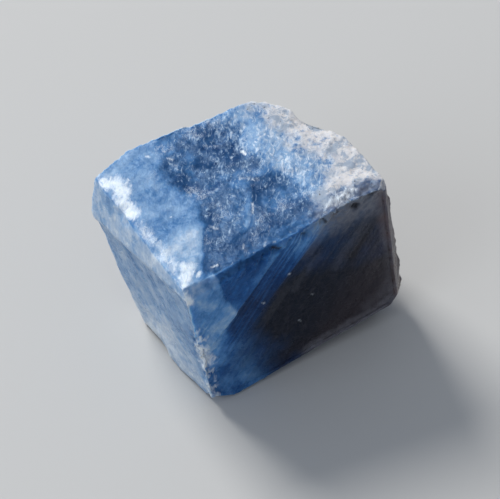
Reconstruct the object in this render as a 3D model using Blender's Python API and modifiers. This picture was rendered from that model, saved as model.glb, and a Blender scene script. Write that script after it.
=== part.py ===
"""Rough sapphire: one block of cloudy blue corundum that parted into an almost square-cornered
rhombohedron, with stepped basal plates, a scarred top and a crust of matrix on its far shoulder.

The block is shaped in its own axes, in millimetres. The origin is the apex corner, where the trigonal
axis comes out. +X runs along the long top edge, +Y along the short top edge, and the stone hangs below,
towards -Z. It is then leaned into the pose in which it lies, and cut flat where it rests.
"""

import math

import bmesh
import bpy
from mathutils import Euler, Matrix, Vector, noise

NODE = "sapphire_crystal"
METRES = 0.001

SHORT_EDGE = 9.95
LONG_EDGE = 12.42
LEAN_DEG = (-3.3, -8.1, 31.2)  # how the block lies, with the far right corner lifted
REST_DEPTH = 9.72  # from the apex corner straight down to the surface that it rests on
UNDERSIDE_CLEAR = 0.1  # how far most of the underside stays off that surface
REST_SPOT = (5.1, 5.0)  # the flat spot that carries the stone, below its middle
REST_SPOT_SIZE = (2.2, 3.6)  # flat out to the first radius, and gone at the second

SNAP = 0.02  # points nearer than this to the rest plane lie on it

GRAIN = 0.13  # spacing of the surface points while the relief is worked
TRIANGLES = 8600  # what the solid is thinned to

# Faces of the parting block: a point that the face passes through, its compass bearing in the
# block's XY plane in degrees from +X, and how many degrees it looks up.
FACES = {
    "top": ((0, 0, 0), 0, 90),
    "front_right": ((0, 0, 0), 270, 0),
    "left": ((0, 0, 0), 184, 0),
    "back_left": ((5.3, SHORT_EDGE, 0), 83, 0),
    "right_end": ((LONG_EDGE, 1, -2), 0, 2),
}

# Edges and corners that broke or wore away, given in the same way.
BREAKS = {
    "left_bevel": ((0.1, 0, 0), 180, 18.5),
    "left_corner": ((1.0, 10.0, 0), 102.5, 0),
    "left_back_edge": ((-0.6, 8.4, -4.9), 150, -12.5),
    "back_corner_near": ((12.6, 3.6, -0.8), 23, 4),
    "back_corner_far": ((10.3, 8.65, -0.8), 36, 5),
    "crust_shoulder": ((9.8, 2.5, 0), 8, 79.5),
    "front_top_edge": ((1.2, 0.42, 0), 267, 40),
    "apex_tip": ((0.15, 0.15, 0), 225, 35),
    "left_tip": ((-0.15, 9.6, -0.2), 135, 35),
    "right_edge": ((12.0, 0, -2), 316, -1.8),
    "right_corner": ((11.72, 0.2, -0.1), 320, 30),
    "front_foot": ((1.6, 0.1, -9.98), 269.2, -42),
    "right_foot": ((12.9, 3, -9.6), 350, -48),
    "right_toe": ((11.75, 0.1, -9.55), 305, -30),
    "near_toe": ((0, 0, -8.96), 229, -41),
    "back_foot": ((4, 9.1, -7.6), 95, -40),
    "back_toe": ((10.6, 8.2, -6.8), 40, -42),
}

# Basal plates end where x + y - z reaches the first number. Beyond it the face lies the second
# number deeper.
FRONT_STEPS = ((6.4, 0.1), (9.15, 0.15), (10.6, 0.17), (13.1, 0.19))
BACK_STEPS = ((15.6, 0.22), (18.9, 0.5), (22.3, 0.75))
RIGHT_END_STEPS = ((18.6, 0.1), (21.4, 0.25))
AXIS_OUT = Vector((-1, -1, 1)).normalized()  # the trigonal axis, out of the apex corner
AXIS_SPAN = math.sqrt(3)  # x + y - z grows by this much for each unit along the axis

# The wedge of slab left standing at the foot of the front edge: thickest where the first step cuts it.
SLAB_EDGE = (-0.1, 0.0, 0.0)
SLAB_BEARING = 267.4
SLAB_TOP = (2.6, 0, -3.45)
SLAB_RISE = 34
SLAB_HEAD = -0.6  # its upper end
SLAB_FOOT = -8.2  # where its face runs out

# The pale plate beside the short top edge stands over the rest of the top. Its broken edge, as points
# from the apex to the back, and how far it stands.
PLATE_EDGE = (
    (1.2, 0.0), (1.75, 1.3), (2.75, 2.75), (3.2, 3.3), (3.4, 4.2),
    (3.6, 5.0), (3.0, 6.5), (3.2, 8.2), (4.2, 10.5),
)
PLATE_STEP = 0.09
# A smaller flake, in the same way: its right side, and its left side where it dies out.
FLAKE_EDGE = ((4.3, 1.5), (5.2, 2.2), (6.1, 3.3), (6.45, 4.3), (6.2, 5.0))
FLAKE_WIDTH = 1.9
FLAKE_STEP = 0.08

# Where the crust of matrix begins on the top, as points across the stone.
CRUST_EDGE = (
    (8.4, 0.0), (9.0, 1.3), (10.4, 2.3), (10.7, 3.3), (10.0, 4.9), (9.8, 6.2), (9.3, 8.2), (8.8, 9.8),
)
CRUST_FOOT = -4.2  # how far down it reaches
CRUST_LUMP = 0.1  # how far its lumps stand
CRUST_GRAIN = 0.035

# Chips knocked out of the surface: centre, radius and how deep they bite.
CHIPS = (
    ((0.3, -0.35, -5.7), 1.4, 0.26),
    ((7.3, -0.05, -0.7), 0.45, 0.2),
    ((5.45, 0.0, -0.5), 0.4, 0.18),
    ((10.3, 0.1, -0.8), 0.4, 0.14),
    ((8.4, 0.1, -0.4), 0.35, 0.14),
    ((4.7, 6.3, 0.1), 1.5, 0.2),
    ((7.6, 3.0, 0.1), 1.7, 0.16),
    ((7.2, 7.6, 0.1), 1.6, 0.18),
    ((0.0, 6.7, 0.1), 0.9, 0.14),
    ((11.5, 6.3, -0.5), 1.5, 0.2),
    ((3.4, 10.1, -3.6), 2.4, 0.55),
    ((8.3, 9.9, -5.6), 1.9, 0.4),
    ((12.7, 3.4, -5.0), 1.9, 0.4),
    ((-0.6, 5.0, -5.2), 1.7, 0.14),
    ((-0.4, 5.7, -8.7), 2.0, 0.2),
)


def direction(bearing, rise):
    """The unit vector with that compass bearing and that angle above the block's XY plane."""
    bearing, rise = math.radians(bearing), math.radians(rise)
    flat = math.cos(rise)
    return Vector((math.cos(bearing) * flat, math.sin(bearing) * flat, math.sin(rise)))


def cut_solid(name, planes, size=40.0):
    """A closed convex mesh object: a large cube cut by each plane, given as a point and the way out."""
    solid = bmesh.new()
    bmesh.ops.create_cube(solid, size=size)
    for point, outward in planes:
        everything = solid.verts[:] + solid.edges[:] + solid.faces[:]
        cut = bmesh.ops.bisect_plane(
            solid, geom=everything, plane_co=point, plane_no=outward, dist=1e-5, clear_outer=True
        )
        rim = [e for e in cut["geom_cut"] if isinstance(e, bmesh.types.BMEdge)]
        if rim:
            bmesh.ops.contextual_create(solid, geom=rim)
    bmesh.ops.recalc_face_normals(solid, faces=solid.faces)
    mesh = bpy.data.meshes.new(name)
    solid.to_mesh(mesh)
    solid.free()
    return bpy.data.objects.new(name, mesh)


def basal_plane(distance):
    """A point and the way towards the apex, for the basal plane where x + y - z is that number."""
    return AXIS_OUT * (-distance / AXIS_SPAN), AXIS_OUT


def step_cutters(label, steps, face_point, outward):
    """Cutters that lower a face by each step's depth beyond its basal plane."""
    cutters = []
    for number, (distance, depth) in enumerate(steps):
        floor = Vector(face_point) - outward * depth
        cutters.append(cut_solid(f"{label}_{number}", [(floor, -outward), basal_plane(distance)]))
    return cutters


def front_slab():
    """The slab that stands out of the front right face, between the front edge and the first step."""
    planes = [
        (SLAB_EDGE, direction(SLAB_BEARING, 0)),
        ((0, 1, 0), direction(90, 0)),
        ((0.06, 0, 0), direction(185, 0)),
        ((0, 0, SLAB_HEAD), direction(0, 90)),
        (SLAB_TOP, direction(0, SLAB_RISE)),
        ((0, 0, SLAB_FOOT), direction(270, -75)),
        (basal_plane(FRONT_STEPS[0][0])[0], -AXIS_OUT),
    ]
    return cut_solid("front_slab", planes)


def past_edge(spot, edge):
    """How far to the right of a line of points across the top a spot lies."""
    for (x0, y0), (x1, y1) in zip(edge, edge[1:]):
        if spot.y <= y1:
            share = max(0.0, (spot.y - y0) / (y1 - y0))
            return spot.x - x0 - (x1 - x0) * share
    return spot.x - edge[-1][0]


def ramp(value, low, high):
    """0 below low, 1 above high and smooth between them."""
    share = min(1.0, max(0.0, (value - low) / (high - low)))
    return share * share * (3 - 2 * share)


def roughness_at(spot, scale, octaves=3):
    """Even noise of about -1 to 1 whose lumps are roughly as wide as scale."""
    return noise.fractal(spot / scale, 1.0, 2.0, octaves)


def crust_share(spot, facing):
    """1 where the crust of matrix covers the stone, and 0 where the sapphire is bare."""
    ragged = 0.8 * roughness_at(spot, 1.6)
    past_line = ramp(past_edge(spot, CRUST_EDGE) + ragged, -0.3, 0.5)
    above_foot = ramp(spot.z - CRUST_FOOT + 2 * ragged, 0.0, 0.8)
    outward = ramp(max(facing.z, facing.y), 0.15, 0.4)
    return past_line * above_foot * outward


def top_relief(spot):
    """The plate, the flake and the scars of the top."""
    ragged = 0.28 * roughness_at(spot, 0.9)
    height = 0.06 * roughness_at(spot, 1.5)
    height -= PLATE_STEP * ramp(past_edge(spot, PLATE_EDGE) + ragged, -0.08, 0.08)
    across = past_edge(spot, FLAKE_EDGE) + ragged
    along = ramp(spot.y, FLAKE_EDGE[0][1], FLAKE_EDGE[0][1] + 0.4) * (1 - ramp(spot.y, 4.6, 5.2))
    return height + FLAKE_STEP * along * ramp(across, -FLAKE_WIDTH, -0.5) * (1 - ramp(across, -0.08, 0.08))


def left_relief(spot, bands):
    """The left face: faint basal bands, hollow below the bevel, with a ledge standing out at its foot."""
    under_bevel = -(spot.z + 0.21 * spot.y + 0.3)
    hollow = 0.13 * ramp(under_bevel, 0.1, 0.5) * (1 - ramp(under_bevel, 1.0, 4.0))
    ledge_run = ramp(spot.y, 1.2, 3.2) * (1 - ramp(spot.y, 6.5, 8.2))
    return 0.05 * bands - hollow + 0.14 * ledge_run * ramp(-spot.z, 7.6, 8.7)


def underside_relief(spot):
    """The broken underside, low at the spot that carries the stone."""
    from_spot = math.hypot(spot.x - REST_SPOT[0], spot.y - REST_SPOT[1]) + 0.8 * roughness_at(spot, 2.2)
    return 0.06 * roughness_at(spot, 1.2) + 2 * UNDERSIDE_CLEAR * (1 - ramp(from_spot, *REST_SPOT_SIZE))


def relief(spot, facing):
    """How far the surface stands out of the plain block there."""
    upward = ramp(facing.z, 0.6, 0.9)
    front = ramp(-facing.y, 0.7, 0.95)
    left = ramp(-facing.x, 0.7, 0.95)
    hidden = ramp(max(facing.x, facing.y), 0.7, 0.95) * ramp(-spot.z, 0.2, 1.6)
    below = ramp(-facing.z, 0.9, 0.97)
    crust = crust_share(spot, facing)
    bands = noise.fractal(Vector(((spot.x + spot.y - spot.z) / 0.9, 0.3, 7.0)), 1.0, 2.0, 3)
    height = 0.04 * roughness_at(spot, 3.2, 2)
    height += upward * (1 - crust) * top_relief(spot)
    height += crust * (CRUST_LUMP * roughness_at(spot, 1.1) + CRUST_GRAIN * roughness_at(spot * 1.7, 0.7))
    height += front * 0.02 * bands + left * left_relief(spot, bands)
    height += hidden * (0.1 * bands + 0.12 * roughness_at(spot, 1.6)) + below * underside_relief(spot)
    for centre, radius, depth in CHIPS:
        reach = (spot - Vector(centre)).length / radius
        if reach < 1:
            broken = reach + 0.45 * roughness_at(spot + Vector(centre), radius * 0.6) * (1 - reach)
            height -= depth * (1 - ramp(broken, 0.35, 1.0))
    return height


def evaluated_mesh(obj):
    """The object's mesh with its modifiers worked in."""
    bpy.context.view_layer.update()
    graph = bpy.context.evaluated_depsgraph_get()
    return bpy.data.meshes.new_from_object(obj.evaluated_get(graph))


def lean():
    """The turn from the block's own axes to the way it lies."""
    return Euler([math.radians(angle) for angle in LEAN_DEG]).to_matrix()


def stepped_block(parts, cutters):
    """The parting block with its steps and slab, as one object with an even fine surface."""
    planes = [(Vector(point), direction(bearing, rise)) for point, bearing, rise in FACES.values()]
    planes += [(Vector(point), direction(bearing, rise)) for point, bearing, rise in BREAKS.values()]
    upward = lean().transposed() @ Vector((0, 0, 1))
    planes.append((upward * (UNDERSIDE_CLEAR - REST_DEPTH), -upward))
    block = cut_solid(NODE, planes)
    parts.objects.link(block)
    lowered = step_cutters("front_step", FRONT_STEPS, (0, 0, 0), direction(270, 0))
    back_point, back_bearing, back_rise = FACES["back_left"]
    lowered += step_cutters("back_step", BACK_STEPS, back_point, direction(back_bearing, back_rise))
    end_point, end_bearing, end_rise = FACES["right_end"]
    lowered += step_cutters("end_step", RIGHT_END_STEPS, end_point, direction(end_bearing, end_rise))
    changes = [(cutter, "DIFFERENCE") for cutter in lowered] + [(front_slab(), "UNION")]
    for tool, operation in changes:
        tool.hide_render = True
        tool.display_type = "WIRE"
        cutters.objects.link(tool)
        change = block.modifiers.new(tool.name, "BOOLEAN")
        change.operation = operation
        change.object = tool
    even = block.modifiers.new("even_grain", "REMESH")
    even.mode = "VOXEL"
    even.voxel_size = GRAIN
    block.data = evaluated_mesh(block)
    block.modifiers.clear()
    return block


def work_relief(block):
    """Moves each point of the fine surface out or in by its relief."""
    moved = [
        vertex.co + vertex.normal * relief(vertex.co, vertex.normal) for vertex in block.data.vertices
    ]
    for vertex, place in zip(block.data.vertices, moved):
        vertex.co = place


def thin_out(block):
    """Thins the fine surface to the triangles that its shape needs."""
    block.data.calc_loop_triangles()
    thin = block.modifiers.new("thin_out", "DECIMATE")
    thin.ratio = TRIANGLES / len(block.data.loop_triangles)
    thin.use_collapse_triangulate = True
    block.data = evaluated_mesh(block)
    block.modifiers.clear()


def lay_down(block):
    """Leans the block, cuts it flat where it rests and centres it there. Returns the apex corner."""
    solid = bmesh.new()
    solid.from_mesh(block.data)
    bmesh.ops.rotate(solid, matrix=lean(), verts=solid.verts)
    everything = solid.verts[:] + solid.edges[:] + solid.faces[:]
    cut = bmesh.ops.bisect_plane(
        solid, geom=everything, plane_co=(0, 0, -REST_DEPTH), plane_no=(0, 0, -1), dist=SNAP,
        clear_outer=True,
    )
    rim = [e for e in cut["geom_cut"] if isinstance(e, bmesh.types.BMEdge)]
    bmesh.ops.contextual_create(solid, geom=rim)
    for vertex in solid.verts:
        if vertex.co.z < SNAP - REST_DEPTH:
            vertex.co.z = -REST_DEPTH
    bmesh.ops.dissolve_degenerate(solid, dist=SNAP, edges=solid.edges)
    bmesh.ops.triangulate(solid, faces=solid.faces)
    across = [vertex.co.x for vertex in solid.verts]
    along = [vertex.co.y for vertex in solid.verts]
    apex = Vector((-(min(across) + max(across)) / 2, -(min(along) + max(along)) / 2, REST_DEPTH))
    bmesh.ops.translate(solid, vec=apex, verts=solid.verts)
    bmesh.ops.transform(solid, matrix=Matrix.Scale(METRES, 4), verts=solid.verts)
    solid.to_mesh(block.data)
    solid.free()
    return apex * METRES


def sapphire_material():
    """Cloudy cornflower blue, a little glossy where it parted."""
    material = bpy.data.materials.new("cloudy_blue_corundum")
    material.use_nodes = True
    shader = material.node_tree.nodes["Principled BSDF"]
    shader.inputs["Base Color"].default_value = (0.11, 0.24, 0.50, 1)
    shader.inputs["Roughness"].default_value = 0.42
    shader.inputs["Metallic"].default_value = 0.0
    shader.inputs["IOR"].default_value = 1.77
    return material


def main():
    for obj in list(bpy.data.objects):
        bpy.data.objects.remove(obj)
    parts = bpy.data.collections.new("rough_sapphire")
    cutters = bpy.data.collections.new("cutters")
    bpy.context.scene.collection.children.link(parts)
    bpy.context.scene.collection.children.link(cutters)
    block = stepped_block(parts, cutters)
    work_relief(block)
    thin_out(block)
    apex = lay_down(block)
    block.data.materials.clear()
    block.data.materials.append(sapphire_material())
    print("triangles:", len(block.data.polygons), "apex corner:", [round(c, 5) for c in apex])
    return apex


main()
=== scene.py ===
import math

import bmesh
import bpy
import numpy as np
from mathutils import Euler, Matrix, Vector, noise


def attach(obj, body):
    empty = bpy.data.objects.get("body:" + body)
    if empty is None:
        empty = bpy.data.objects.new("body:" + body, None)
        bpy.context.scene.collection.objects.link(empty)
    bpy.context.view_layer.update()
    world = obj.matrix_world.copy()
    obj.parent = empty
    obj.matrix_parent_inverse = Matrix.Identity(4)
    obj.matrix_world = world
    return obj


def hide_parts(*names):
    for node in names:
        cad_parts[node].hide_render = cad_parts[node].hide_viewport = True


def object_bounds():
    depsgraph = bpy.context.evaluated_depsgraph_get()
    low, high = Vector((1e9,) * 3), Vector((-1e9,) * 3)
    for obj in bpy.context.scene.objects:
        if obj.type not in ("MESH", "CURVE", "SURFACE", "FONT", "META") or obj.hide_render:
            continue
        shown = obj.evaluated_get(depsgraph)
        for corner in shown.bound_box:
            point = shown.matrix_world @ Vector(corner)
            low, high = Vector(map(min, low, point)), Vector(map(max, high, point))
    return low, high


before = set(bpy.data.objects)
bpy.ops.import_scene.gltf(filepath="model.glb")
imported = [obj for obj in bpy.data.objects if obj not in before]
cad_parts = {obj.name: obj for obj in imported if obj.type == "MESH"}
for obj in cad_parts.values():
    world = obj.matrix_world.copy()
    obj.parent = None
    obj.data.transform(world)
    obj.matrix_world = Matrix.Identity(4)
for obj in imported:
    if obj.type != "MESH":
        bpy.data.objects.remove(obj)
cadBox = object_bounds()
noise.seed_set(7)  # without a seed, noise_vector gives other values on each run
print("frame loaded")

# The stone is shaped in its own axes, in millimetres: the origin is the apex corner, +X runs along the long
# top edge, +Y along the short top edge, and the stone hangs towards -Z. It is then leaned and set down.
metres = 0.001

stone = {
    "lean": (-3.3, -8.1, 31.2),  # degrees
    "restDepth": 9.72,  # from the apex corner straight down to the floor
    "undersideClear": 0.1,
    "restSpot": (5.1, 5.0),
    "restSpotSize": (2.2, 3.6),
    "grain": 0.085,  # spacing of the surface points
    "flatness": 0.005,  # how near to the floor a point counts as resting on it
    "longEdge": 12.42,
    "shortEdge": 9.95,
}

# Each flat face: a point on it, its bearing from +X in degrees, and how far it looks up.
faces = {
    "top": ((0, 0, 0), 0, 90),
    "frontRight": ((0, 0, 0), 270, 0),
    "left": ((0, 0, 0), 184, 0),
    "backLeft": ((5.3, stone["shortEdge"], 0), 83, 0),
    "rightEnd": ((stone["longEdge"], 1, -2), 0, 2),
    "leftBevel": ((0.1, 0, 0), 180, 18.5),
    "leftCorner": ((1.0, 10.0, 0), 102.5, 0),
    "leftBackEdge": ((-0.6, 8.4, -4.9), 150, -12.5),
    "backCornerNear": ((12.6, 3.6, -0.8), 23, 4),
    "backCornerFar": ((10.3, 8.65, -0.8), 36, 5),
    "crustShoulder": ((9.8, 2.5, 0), 8, 79.5),
    "frontTopEdge": ((1.2, 0.42, 0), 267, 40),
    "apexTip": ((0.15, 0.15, 0), 225, 35),
    "leftTip": ((-0.15, 9.6, -0.2), 135, 35),
    "rightEdge": ((12.0, 0, -2), 316, -1.8),
    "rightCorner": ((11.72, 0.2, -0.1), 320, 30),
    "frontFoot": ((1.6, 0.1, -9.95), 269.2, -42),
    "rightFoot": ((12.9, 3, -9.6), 350, -48),
    "rightToe": ((11.75, 0.1, -9.55), 305, -30),
    "nearToe": ((0, 0, -8.9), 229, -41),
    "backFoot": ((4, 9.1, -7.6), 95, -40),
    "backToe": ((10.6, 8.2, -6.8), 40, -42),
}

# Basal plates end where x + y - z, or on the front x - 1.2 z, reaches the first number. Beyond it the face lies
# the second number deeper.
frontSlope = 1.2
firstLine = 6.7  # the two lines that stand out on the front
secondLine = 9.47
steps = {
    "front": ((firstLine, 0.07), (7.4, 0.09), (8.1, 0.11), (secondLine, 0.15), (10.9, 0.17), (13.4, 0.19)),
    "backLeft": ((15.6, 0.22), (18.9, 0.5), (22.3, 0.75)),
    "rightEnd": ((18.6, 0.1), (21.4, 0.25)),
}
slab = {
    "slope": 0.045,
    "tip": (2.55, -3.45),
    "rise": 20,  # degrees
    "lowest": -7.6,
    "edge": 1.95,  # where its colour ends along the top edge
    "flare": 0.36,  # how much further right that is for each millimetre down
    "flareFrom": 1.7,
}
bevel = {"slope": 0.21, "drop": 0.3}  # the lower edge of the left bevel
axisOut = Vector((-1, -1, 1)).normalized()


def facing(bearing, rise):
    bearing, rise = math.radians(bearing), math.radians(rise)
    return Vector((math.cos(bearing) * math.cos(rise), math.sin(bearing) * math.cos(rise), math.sin(rise)))


def leanTurn():
    return Euler([math.radians(angle) for angle in stone["lean"]]).to_matrix()


def cutBlock(name, planes, size=40.0):
    block = bmesh.new()
    bmesh.ops.create_cube(block, size=size)
    for point, outward in planes:
        everything = block.verts[:] + block.edges[:] + block.faces[:]
        cut = bmesh.ops.bisect_plane(
            block, geom=everything, plane_co=point, plane_no=outward, dist=1e-5, clear_outer=True
        )
        rim = [edge for edge in cut["geom_cut"] if isinstance(edge, bmesh.types.BMEdge)]
        if rim:
            bmesh.ops.contextual_create(block, geom=rim)
    bmesh.ops.recalc_face_normals(block, faces=block.faces)
    mesh = bpy.data.meshes.new(name)
    block.to_mesh(mesh)
    block.free()
    shape = bpy.data.objects.new(name, mesh)
    bpy.context.scene.collection.objects.link(shape)
    return shape


def basalPlane(distance):
    return axisOut * (-distance / math.sqrt(3)), axisOut


def bakeModifiers(shape):
    bpy.context.view_layer.update()
    graph = bpy.context.evaluated_depsgraph_get()
    shape.data = bpy.data.meshes.new_from_object(shape.evaluated_get(graph))
    shape.modifiers.clear()


def makeBlock():
    planes = [(Vector(point), facing(bearing, rise)) for point, bearing, rise in faces.values()]
    upward = leanTurn().transposed() @ Vector((0, 0, 1))
    planes.append((upward * (stone["undersideClear"] - stone["restDepth"]), -upward))
    block = cutBlock("sapphire", planes)
    lowered = []
    for face in ("backLeft", "rightEnd"):
        point, bearing, rise = faces[face]
        outward = facing(bearing, rise)
        for number, (distance, depth) in enumerate(steps[face]):
            floorPlane = (Vector(point) - outward * depth, -outward)
            lowered.append(cutBlock(f"{face}Step{number}", [floorPlane, basalPlane(distance)]))
    for tool in lowered:
        change = block.modifiers.new(tool.name, "BOOLEAN")
        change.operation = "DIFFERENCE"
        change.object = tool
    even = block.modifiers.new("evenGrain", "REMESH")
    even.mode = "VOXEL"
    even.voxel_size = stone["grain"]
    bakeModifiers(block)
    for tool in lowered:
        bpy.data.objects.remove(tool)
    return block


block = makeBlock()
print("block cut and remeshed:", len(block.data.vertices), "points")

# The plate and the flake on the top: the broken edge of each, as points from the front to the back.
plate = {
    "edge": (
        (1.2, 0.0), (1.75, 1.3), (2.75, 2.75), (3.2, 3.3), (3.4, 4.2), (3.6, 5.0), (3.0, 6.5), (3.2, 8.2),
        (4.2, 10.5),
    ),
    "raggedness": 0.28,
    "step": 0.04,
}
flake = {
    "edge": ((4.3, 1.5), (5.2, 2.2), (6.1, 3.3), (6.45, 4.3), (6.2, 5.0)),
    "width": 1.9,
    "step": 0.06,
    "from": 1.5,  # where the flake's edge starts and ends, towards the back
    "to": 5.2,
}
# The crust covers the top and the back to the right of its edge, down to its foot.
crust = {
    "edge": ((8.8, 0.0), (9.3, 1.3), (10.5, 2.3), (10.9, 3.3), (10.3, 4.9), (10.1, 6.2), (9.9, 8.2), (9.6, 9.8)),
    "foot": -4.2,
    "lump": 0.1,
    "grain": 0.035,
}
relief = {  # heights in millimetres, or for small facets their size, tilt and lift
    "broadLump": 0.04,
    "topLump": 0.06,
    "leftHollow": 0.13,
    "leftLedge": 0.14,
    "basalBands": (0.05, 0.02, 0.1),  # on the left, on the front, on the hidden faces
    "hiddenLump": 0.12,
    "undersideLump": 0.06,
    "skin": 0.008,
    "topFacet": (0.6, 0.11, 0.02),
    "topChip": (0.27, 0.13, 0.03),
    "crustGrain": (0.3, 0.24, 0.16),
    "scuffGrain": (0.24, 0.22, 0.08),
    "nearEdgeGrain": (0.3, 0.9, 0.1),
    "longEdgeGrain": (0.5, 0.45, 0.1),
    "striation": 0.012,
}

# Chips knocked out of the surface: centre, radius, and how deep they bite.
chips = (
    ((0.1, -0.1, -5.6), 1.1, 0.12),
    ((7.3, -0.05, -0.7), 0.45, 0.2),
    ((5.45, 0.0, -0.5), 0.4, 0.18),
    ((10.3, 0.1, -0.8), 0.4, 0.14),
    ((8.4, 0.1, -0.4), 0.35, 0.14),
    ((4.7, 6.3, 0.1), 1.5, 0.2),
    ((7.6, 3.0, 0.1), 1.7, 0.16),
    ((7.2, 7.6, 0.1), 1.6, 0.18),
    ((0.0, 6.7, 0.1), 0.9, 0.14),
    ((11.5, 6.3, -0.5), 1.5, 0.2),
    ((3.4, 10.1, -3.6), 2.4, 0.55),
    ((8.3, 9.9, -5.6), 1.9, 0.4),
    ((12.7, 3.4, -5.0), 1.9, 0.4),
    ((-0.6, 5.0, -5.2), 1.7, 0.14),
    ((-0.4, 5.7, -8.7), 2.0, 0.2),
)

# Splinters broken out of the near edge: the innermost point of each, and how its floor and its roof face.
splinterReach = 1.3
splinters = (
    ((0.34, 0.30, -5.15), (-0.5, -0.2, 0.84), (-0.7, -0.5, -0.5)),
    ((0.42, 0.26, -5.6), (-0.45, -0.3, 0.84), (-0.6, -0.6, -0.5)),
    ((0.46, 0.24, -6.05), (-0.6, -0.25, 0.76), (-0.6, -0.6, -0.5)),
    ((0.2, 0.16, -6.9), (-0.5, -0.2, 0.84), (-0.7, -0.5, -0.5)),
    ((0.2, 0.2, -3.9), (-0.5, -0.2, 0.84), (-0.7, -0.5, -0.5)),
)


def ramp(value, low, high):
    share = np.clip((value - low) / (high - low), 0.0, 1.0)
    return share * share * (3 - 2 * share)


def cloudAt(place, octaves=3):
    return noise.fractal(Vector(place), 1.0, 2.0, octaves)


def mottle(spots, size, octaves=3, shift=(0, 0, 0)):  # noise of about -1 to 1, its lumps about as wide as size
    return np.array([cloudAt(spot, octaves) for spot in spots / size + np.array(shift)])


def bandsOf(values, size, seed):  # noise along one number, for layers and striations
    return np.array([cloudAt((value / size, 0.3, seed)) for value in values])


def facets(spots, size, tilt, lift):  # small flat facets that tilt every way, as broken crystal has
    heights = []
    for spot in spots / size:
        centre = noise.voronoi(Vector(spot))[1][0]
        slope = noise.noise_vector(centre * 5.1).dot(Vector(spot) - centre)
        heights.append(tilt * slope + lift * noise.noise(centre * 3.7))
    return size * np.array(heights)


def pastEdge(spots, edge):  # how far to the right of a line across the top each spot lies
    return spots[:, 0] - np.interp(spots[:, 1], [y for x, y in edge], [x for x, y in edge])


def basalOf(spots):
    return spots[:, 0] + spots[:, 1] - spots[:, 2]


def slantOf(spots):
    return spots[:, 0] - frontSlope * spots[:, 2]


def belowBevel(spots):
    return -(spots[:, 2] + bevel["slope"] * spots[:, 1] + bevel["drop"])


def readMesh(mesh):
    spots = np.empty(len(mesh.vertices) * 3)
    normals = np.empty(len(mesh.vertices) * 3)
    mesh.vertices.foreach_get("co", spots)
    mesh.vertices.foreach_get("normal", normals)
    return spots.reshape(-1, 3), normals.reshape(-1, 3)


def findRegions(spots, normals):  # how much each point belongs to each part of the surface, from 0 to 1
    ragged = 0.8 * mottle(spots, 1.6)
    x, y, z = spots.T
    pastLine = ramp(pastEdge(spots, crust["edge"]) + ragged, -0.3, 0.5)
    aboveFoot = ramp(z - crust["foot"] + 2 * ragged, 0.0, 0.8)
    nearTop = ramp(np.maximum(normals[:, 2], normals[:, 1]), 0.15, 0.4)
    top = ramp(normals[:, 2], 0.72, 0.9)
    front = ramp(-normals[:, 1], 0.5, 0.75) * (1 - top)
    left = ramp(-normals[:, 0], 0.5, 0.75) * (1 - top) * (1 - front)
    below = ramp(-normals[:, 2], 0.85, 0.95)
    edgeNoise = plate["raggedness"] * mottle(spots, 0.9)
    pastPlate = pastEdge(spots, plate["edge"]) + edgeNoise
    pastPlate /= 0.14 + 0.5 * ramp(y, 3.4, 5.2)  # the edge is crisp in front and fades out further back
    return {
        "crust": pastLine * aboveFoot * nearTop,
        "top": top,
        "front": front,
        "left": left,
        "facingUp": ramp(normals[:, 2], 0.1, 0.8),
        "longEdge": (1 - ramp(np.hypot(y, z + 0.2) + 0.2 * ragged, 0.35, 1.1)) * ramp(x, 1.0, 2.2),
        "nearEdge": (1 - ramp(np.hypot(x, y) + 0.3 * ragged, 0.3, 0.95)) * ramp(-z, 2.3, 3.6),
        "hidden": (1 - top) * (1 - front) * (1 - left) * (1 - below),
        "plate": 1 - ramp(pastPlate, -1.0, 1.0),
        "pastFlake": pastEdge(spots, flake["edge"]) + edgeNoise,
        "alongFlake": ramp(y, flake["from"], flake["from"] + 0.4) * ramp(-y, -flake["to"], 0.6 - flake["to"]),
    }


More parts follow.
